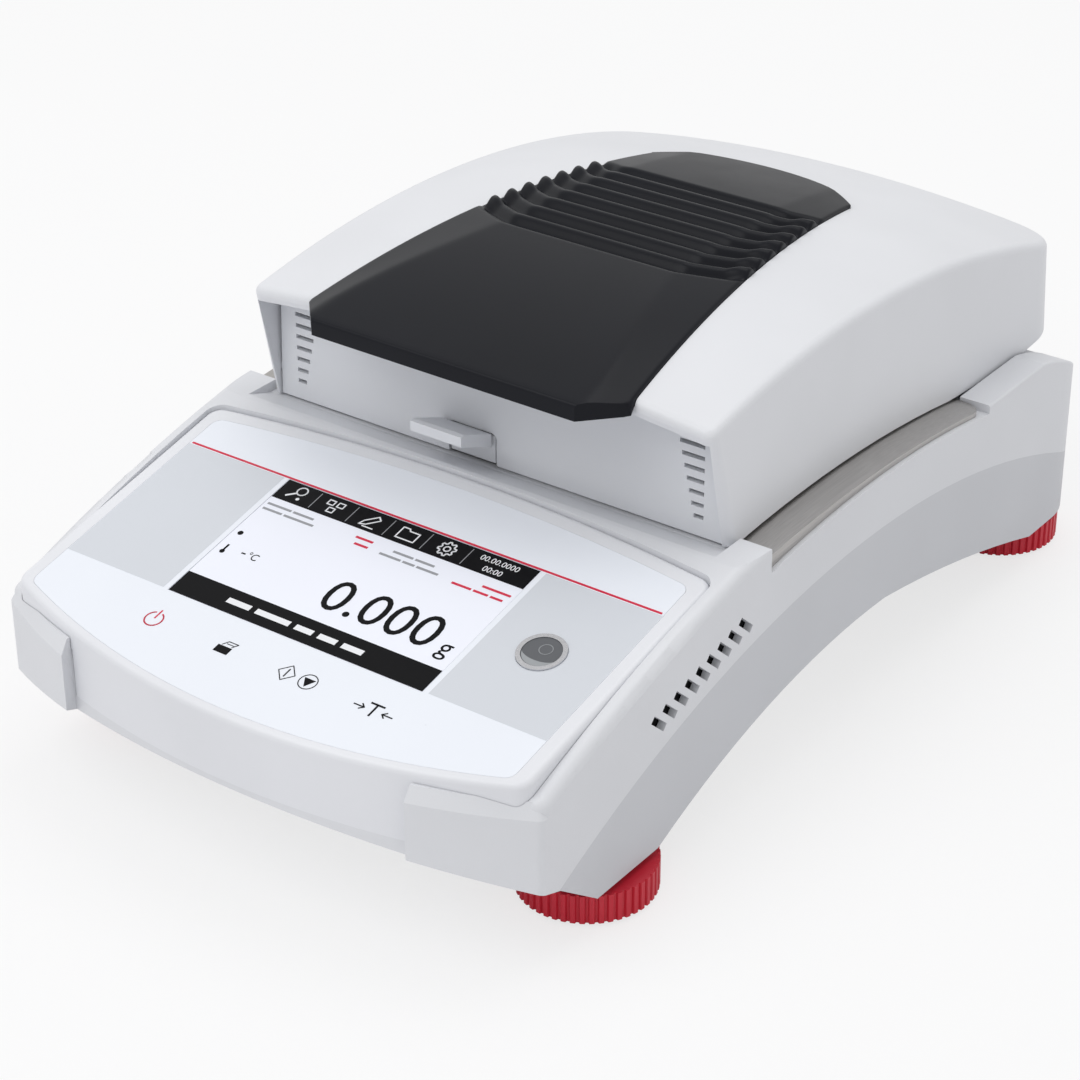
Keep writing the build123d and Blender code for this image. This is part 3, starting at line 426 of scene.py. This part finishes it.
def insert_top(x, y):
    side = abs(x)
    half = insert_half(min(max(y, INSERT_WIDE[0]), INSERT_SIDE[0]))
    flat = insert_fold(y)
    top = INSERT_TOP_Z - (y - ROOF_Y) ** 2 / (2 * ROOF_RADIUS)
    edge = roof_height(half, y) + INSERT_STEP
    slope = (top - edge) / (half - flat)
    z = top - slope * soft_ramp(side - flat, FOLD_SOFTNESS) + rib_relief(side, y, half - side)
    if y < INSERT_SIDE[0]:
        rim = max(0.0, min(half - side, y - INSERT_FRONT[0], RIM_RADIUS))
        z -= RIM_RADIUS - sqrt(RIM_RADIUS ** 2 - (RIM_RADIUS - rim) ** 2)
    return z


def insert_rows():
    """Places along y: close together at the front rim, over the ribs and round the rear bow."""
    rows = [INSERT_FRONT[0] + step for step in (0.0, 0.08, 0.3, 0.65, 1.0, 3.0)]
    ribs_start = RIB_Y - 12
    ribs_end = RIB_Y + RIB_COUNT * RIB_PITCH + 10
    y = INSERT_FRONT[0] + 5.0
    while y < INSERT_SIDE[0] - 0.5:
        rows.append(y)
        y += 0.8 if ribs_start < y < ribs_end else 2.3
    bow = INSERT_REAR_Y - INSERT_SIDE[0]
    rows += [INSERT_SIDE[0] + bow * sin(pi / 2 * n / 12) for n in range(13)]
    return rows


def insert_columns(count=44):
    """Places across, from -1 to 1, closer together at both rims."""
    inner = [0.96 * n / count for n in range(-count, count + 1)]
    rim = [0.975, 0.986, 0.993, 0.998, 1.0]
    return [-place for place in reversed(rim)] + inner + rim


def border(grid):
    """The vertices round a grid's edge, in order."""
    loop = list(grid[0])
    loop += [row[-1] for row in grid[1:]]
    loop += list(reversed(grid[-1]))[1:]
    loop += [row[0] for row in reversed(grid[1:-1])]
    return loop


def join_loops(bm, first, second):
    for n in range(len(first)):
        m = (n + 1) % len(first)
        bm.faces.new((first[m], first[n], second[n], second[m]))


def build_insert():
    """One closed sheet over the roof, with a wall that hangs down round its front as the lip."""
    columns = insert_columns()
    bm = bmesh.new()
    over = []
    under = []
    length = INSERT_REAR_Y - INSERT_FRONT[0]
    for y in insert_rows():
        half = insert_half(y)
        over.append([bm.verts.new(at(s * half, y, insert_top(s * half, y))) for s in columns])
        low_y = INSERT_FRONT[0] + LIP_WALL + (y - INSERT_FRONT[0]) * (length - 2 * LIP_WALL) / length
        low_half = max(0.5, insert_half(low_y) - LIP_WALL)
        spots = [(s * low_half, low_y) for s in columns]
        under.append([bm.verts.new(at(x, y, roof_height(x, y) - INSERT_SHEET)) for x, y in spots])
    for grid in (over, under):
        for row, other in zip(grid, grid[1:]):
            for n in range(len(row) - 1):
                bm.faces.new((row[n], row[n + 1], other[n + 1], other[n]))
    top_loop = border(over)
    low_loop = border(under)
    outer = []
    inner = []
    for high, low in zip(top_loop, low_loop):
        x, y, z = high.co / MM
        on_lip = y < LIP_END_Y
        foot = INSERT_LIP_Z if on_lip else roof_height(x, y) - INSERT_SHEET
        outer.append(bm.verts.new(at(x, y, foot)))
        x, y, z = low.co / MM
        inner.append(bm.verts.new(at(x, y, INSERT_LIP_Z if on_lip else z)))
    join_loops(bm, top_loop, outer)
    join_loops(bm, outer, inner)
    join_loops(bm, inner, low_loop)
    bmesh.ops.remove_doubles(bm, verts=bm.verts, dist=2e-6)
    bmesh.ops.dissolve_degenerate(bm, edges=bm.edges, dist=1e-6)
    bmesh.ops.recalc_face_normals(bm, faces=bm.faces)
    mesh = bpy.data.meshes.new("vent_insert_smooth")
    bm.to_mesh(mesh)
    bm.free()
    mesh.shade_smooth()
    mesh.set_sharp_from_angle(angle=radians(38))
    piece = make_piece("vent_insert_smooth", mesh, black_mat, "lid")
    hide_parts("lid_vent_insert")


build_insert()

# Heights of the print, from and to, off the overlay and off the display under it
FILM = (0.005, 0.045)
LINE = (0.03, 0.07)
PICTURE = (-0.09, -0.04)
OVER_PICTURE = (-0.05, -0.01)

# Places on the console
SCREEN_LEFT = -54.9
SCREEN_RIGHT = 53.1
SCREEN_V = 32.3
FIELD_GAP = 2.3
FIELD_OUT = 101.3
FIELD_V = 32.2
LEVEL_U = 76.6
LEVEL_V = 8.9
LEVEL_LEFT = LEVEL_U - 11.6
LEVEL_RIGHT = LEVEL_U + 9.6
LEVEL_RING = 8.75
VIAL_RADIUS = 6.6
VIAL_TOP = 0.3
KEY_V = -46.0


def level_surround(steps=32):
    """The part of the grey field between its square room and the round level."""
    def edge_point(turn):
        k = 1 / max(abs(cos(turn)), abs(sin(turn)))
        u = LEVEL_U + 12.0 * k * cos(turn)
        return min(max(u, LEVEL_LEFT), LEVEL_RIGHT), LEVEL_V * min(max(k * sin(turn), -1.0), 1.0)

    round_points = disc(LEVEL_U, 0.0, LEVEL_RING, steps)
    shapes = []
    for n in range(steps):
        m = (n + 1) % steps
        turn = 2 * pi / steps
        shapes.append([round_points[n], round_points[m], edge_point(turn * (n + 1)), edge_point(turn * n)])
    return shapes


side_fields = [
    box(-FIELD_OUT, -FIELD_V, SCREEN_LEFT - FIELD_GAP, FIELD_V),
    box(SCREEN_RIGHT + FIELD_GAP, -FIELD_V, LEVEL_LEFT, FIELD_V),
    box(LEVEL_LEFT, LEVEL_V, FIELD_OUT, FIELD_V),
    box(LEVEL_LEFT, -FIELD_V, FIELD_OUT, -LEVEL_V),
    box(LEVEL_RIGHT, -LEVEL_V, FIELD_OUT, LEVEL_V),
]
prisms("print_side_fields", side_fields, *FILM, film_grey)
prisms("print_level_field", level_surround(), *FILM, film_grey)
prisms("print_red_line", [box(-100.6, 32.6, 100.6, 33.5)], *LINE, ink_red)


# The display's picture: two black bars, pictograms, plain bars for words, and the reading
def pictograms():
    """In the top bar from the left: magnifier, three boxes, pencil, folder and gear."""
    made = ring(-46.3, 29.0, 2.0, 0.55, 14)
    made += stroke([(-47.8, 27.4), (-50.6, 25.0)], 0.8)
    made.append(disc(-45.4, 25.0, 0.7))
    for u, v in ((-33.2, 29.0), (-29.0, 29.0), (-31.1, 25.6)):
        corners = box(u - 1.3, v - 1.1, u + 1.3, v + 1.1)
        made += stroke(corners + corners[:1], 0.5)
    made += stroke([(-17.8, 24.4), (-16.9, 26.6), (-13.0, 30.2), (-11.4, 28.8), (-15.3, 25.1), (-17.8, 24.4)], 0.55)
    made += stroke([(-16.0, 24.0), (-11.6, 24.0)], 0.5)
    folder = [(-2.2, 24.6), (-2.2, 30.0), (0.4, 30.0), (1.2, 29.0), (5.4, 29.0), (5.4, 24.6), (-2.2, 24.6)]
    made += stroke(folder, 0.55)
    gear_u = 18.0
    gear_v = 27.3
    made += ring(gear_u, gear_v, 1.2, 0.55, 10)
    gear = []
    for n in range(33):
        reach = 3.4 if n % 4 < 2 else 2.6
        turn = 2 * pi * n / 32 + 0.1
        gear.append((gear_u + reach * cos(turn), gear_v + reach * sin(turn)))
    made += stroke(gear, 0.6)
    return made


bar_left = SCREEN_LEFT + 0.1
bar_right = SCREEN_RIGHT - 0.1
bars = [box(bar_left, 22.3, bar_right, SCREEN_V), box(bar_left, -SCREEN_V, bar_right, -21.6)]
prisms("screen_bars", bars, *PICTURE, ink_black)
dividers = [box(u - 0.15, 23.2, u + 0.15, 31.4) for u in (-39.1, -22.8, -6.8, 9.3, 26.3)]
prisms("screen_dividers", dividers, *OVER_PICTURE, ink_grey)
prisms("screen_pictograms", pictograms(), *OVER_PICTURE, ink_white)
grey_words = words(-53.6, 18.4, (10.5, 9.0))
grey_words += words(-53.6, 15.6, (8.5, 13.0))
grey_words += words(2.2, 17.6, (8.5, 8.0))
grey_words += words(-1.6, 14.8, (9.0, 5.0, 9.0))
prisms("screen_lines_black", grey_words, *PICTURE, ink_grey)
red_words = words(-14.2, 18.0, (7.4,))
red_words += words(-12.6, 15.0, (5.8,))
red_words += words(40.0, 17.0, (11.6,))
red_words += words(29.6, 13.9, (8.0, 6.0, 5.0))
prisms("screen_lines_red", red_words, *PICTURE, ink_red)
message = words(-33.0, -28.2, (10.0, 14.5, 7.4, 7.6, 8.6), 2.4, 2.4)
prisms("screen_message", message, *OVER_PICTURE, ink_white)
thermometer = [disc(-51.4, -8.4, 1.0, 10), box(-51.8, -8.4, -51.0, -4.6)]
marks = [disc(-51.8, 1.9, 1.1, 10)] + thermometer + [box(-44.6, -6.4, -42.8, -5.8)]
prisms("screen_marks", marks, *PICTURE, ink_black)
lettering("screen_degree", "°C", -39.6, -7.6, 3.2, ink_black, PICTURE[1] - 0.01, 0.9)
lettering("screen_reading", "0.000", 18.4, -15.6, 14.8, ink_black, PICTURE[1] - 0.01, 1.02)
lettering("screen_unit", "g", 47.6, -15.6, 7.6, ink_black, PICTURE[1] - 0.01)
lettering("screen_date", "00.00.0000", 38.6, 28.2, 2.5, ink_white, OVER_PICTURE[1])
lettering("screen_time", "00:00", 38.6, 23.8, 2.5, ink_white, OVER_PICTURE[1])

# Key symbols: power, print, start and stop, tare
power = stroke(arc(-49.3, KEY_V, 3.3, 115, 425, 26), 0.55)
power += stroke([(-49.3, -45.6), (-49.3, -41.6)], 0.6)
prisms("key_symbol_power", power, *LINE, ink_red)
printer = [box(-21.2, -48.6, -15.4, -45.4)]
printer += stroke([(-20.0, -45.0), (-18.6, -43.0), (-14.6, -43.0), (-16.0, -45.0)], 0.35)
printer += stroke([(-18.6, -44.1), (-15.8, -44.1)], 0.3)
prisms("key_symbol_print", printer, *LINE, ink_black)
start = stroke([(8.2, -42.2), (11.6, -45.8), (8.2, -49.4), (4.8, -45.8), (8.2, -42.2)], 0.35)
start += stroke([(8.2, -44.0), (8.2, -47.6)], 0.5)
start += ring(17.2, KEY_V, 3.3, 0.35)
start.append([(17.2, -48.4), (19.5, -44.6), (14.9, -44.6)])
prisms("key_symbol_start_stop", start, *LINE, ink_black)
tare_u = 44.5
tare = stroke([(tare_u - 2.6, -44.0), (tare_u + 2.6, -44.0)], 0.75)
tare += stroke([(tare_u, -44.0), (tare_u, -49.2)], 0.75)
for side in (-1, 1):
    tip = tare_u + side * 3.6
    barb = tip + side * 1.4
    tare += stroke([(tare_u + side * 7.6, -46.8), (tip, -46.8)], 0.5)
    tare += stroke([(barb, -45.6), (tip, -46.8), (barb, -48.0)], 0.5)
prisms("key_symbol_tare", tare, *LINE, ink_black)

# The level: a pale crescent of liquid low in the vial, and the bubble's thin outline
low_arc = arc(LEVEL_U, 0.0, VIAL_RADIUS, 200, 340, 24)
shore = [(u, 0.45 * v - 1.2) for u, v in reversed(low_arc)]
prisms("level_liquid", [low_arc + shore], VIAL_TOP + 0.02, VIAL_TOP + 0.05, liquid_mat)
prisms("level_bubble", ring(LEVEL_U + 0.6, 1.6, 2.3, 0.3), VIAL_TOP + 0.05, VIAL_TOP + 0.07, liquid_mat)

# Dark plates behind the side vents, painted shade seen through their slots, and the pale block of the handler's
# neck in the lid's notch
for side, word in ((-1, "left"), (1, "right")):
    near, far = sorted((side * 108.4, side * 109.6))
    # A dark plate that paints the shade inside the vent slots
    plate("vent_painted_shade_" + word, (near, -116.0, 56.0), (far, -50.0, 80.0), dark_mat)
plate("handler_apron", (-18.2, -46.1, 94.9), (1.2, -44.9, 105.4), skirt_mat)


def build_floor(half=6.0, glow_share=0.72):
    """A pale floor, which the camera sees nearly white and with the object's shadow."""
    mat, tree, shader = new_material("floor_white")
    cloud = noise(tree, 3.0)
    tint = ramp(tree, cloud.outputs["Fac"], (0.80, 0.80, 0.81), (0.82, 0.82, 0.83))
    tree.links.new(tint.outputs["Color"], shader.inputs["Base Color"])
    shader.inputs["Roughness"].default_value = 0.9
    glow = tree.nodes.new("ShaderNodeEmission")
    glow.inputs["Color"].default_value = (1, 1, 1, 1)
    glow.inputs["Strength"].default_value = 1.0
    path = tree.nodes.new("ShaderNodeLightPath")
    share = tree.nodes.new("ShaderNodeMath")
    share.operation = "MULTIPLY"
    share.inputs[1].default_value = glow_share
    mixer = tree.nodes.new("ShaderNodeMixShader")
    tree.links.new(path.outputs["Is Camera Ray"], share.inputs[0])
    tree.links.new(share.outputs[0], mixer.inputs["Fac"])
    tree.links.new(shader.outputs["BSDF"], mixer.inputs[1])
    tree.links.new(glow.outputs["Emission"], mixer.inputs[2])
    tree.links.new(mixer.outputs["Shader"], tree.nodes["Material Output"].inputs["Surface"])
    mesh = bpy.data.meshes.new("floor")
    corners = [(-half, -half, 0), (half, -half, 0), (half, half, 0), (-half, half, 0)]
    mesh.from_pydata(corners, [], [(0, 1, 2, 3)])
    mesh.materials.append(mat)
    floor = bpy.data.objects.new("floor", mesh)
    bpy.context.scene.collection.objects.link(floor)


def light_world(strength=0.75):
    world = bpy.data.worlds.new("studio")
    bpy.context.scene.world = world
    world.use_nodes = True
    sky = world.node_tree.nodes["Background"]
    sky.inputs["Color"].default_value = (1, 1, 1, 1)
    sky.inputs["Strength"].default_value = strength


def lamp(name, place, target, size, power):
    data = bpy.data.lights.new(name, "AREA")
    data.shape = "RECTANGLE"
    data.size, data.size_y = size
    data.energy = power
    obj = bpy.data.objects.new(name, data)
    obj.location = place
    aim = Vector(target) - Vector(place)
    obj.rotation_euler = aim.to_track_quat("-Z", "Y").to_euler()
    bpy.context.scene.collection.objects.link(obj)


def place_camera():
    """The photograph's camera, solved from the display's corners and the object's edges."""
    data = bpy.data.cameras.new("camera")
    data.sensor_width = 36.0
    data.lens = 97.5513
    camera = bpy.data.objects.new("camera", data)
    camera.location = (0.544927, -0.756769, 0.571976)
    camera.rotation_euler = (radians(60.43428), radians(0.2433), radians(36.30567))
    bpy.context.scene.collection.objects.link(camera)
    bpy.context.scene.camera = camera


build_floor()
light_world()
lamp("key", (-0.5, -1.0, 1.6), (0, 0, 0.05), (1.2, 1.2), 9.0)
lamp("top", (0.1, 0.5, 1.7), (0, 0, 0.1), (1.4, 1.0), 6.0)
place_camera()
bpy.context.scene.view_settings.view_transform = "Standard"
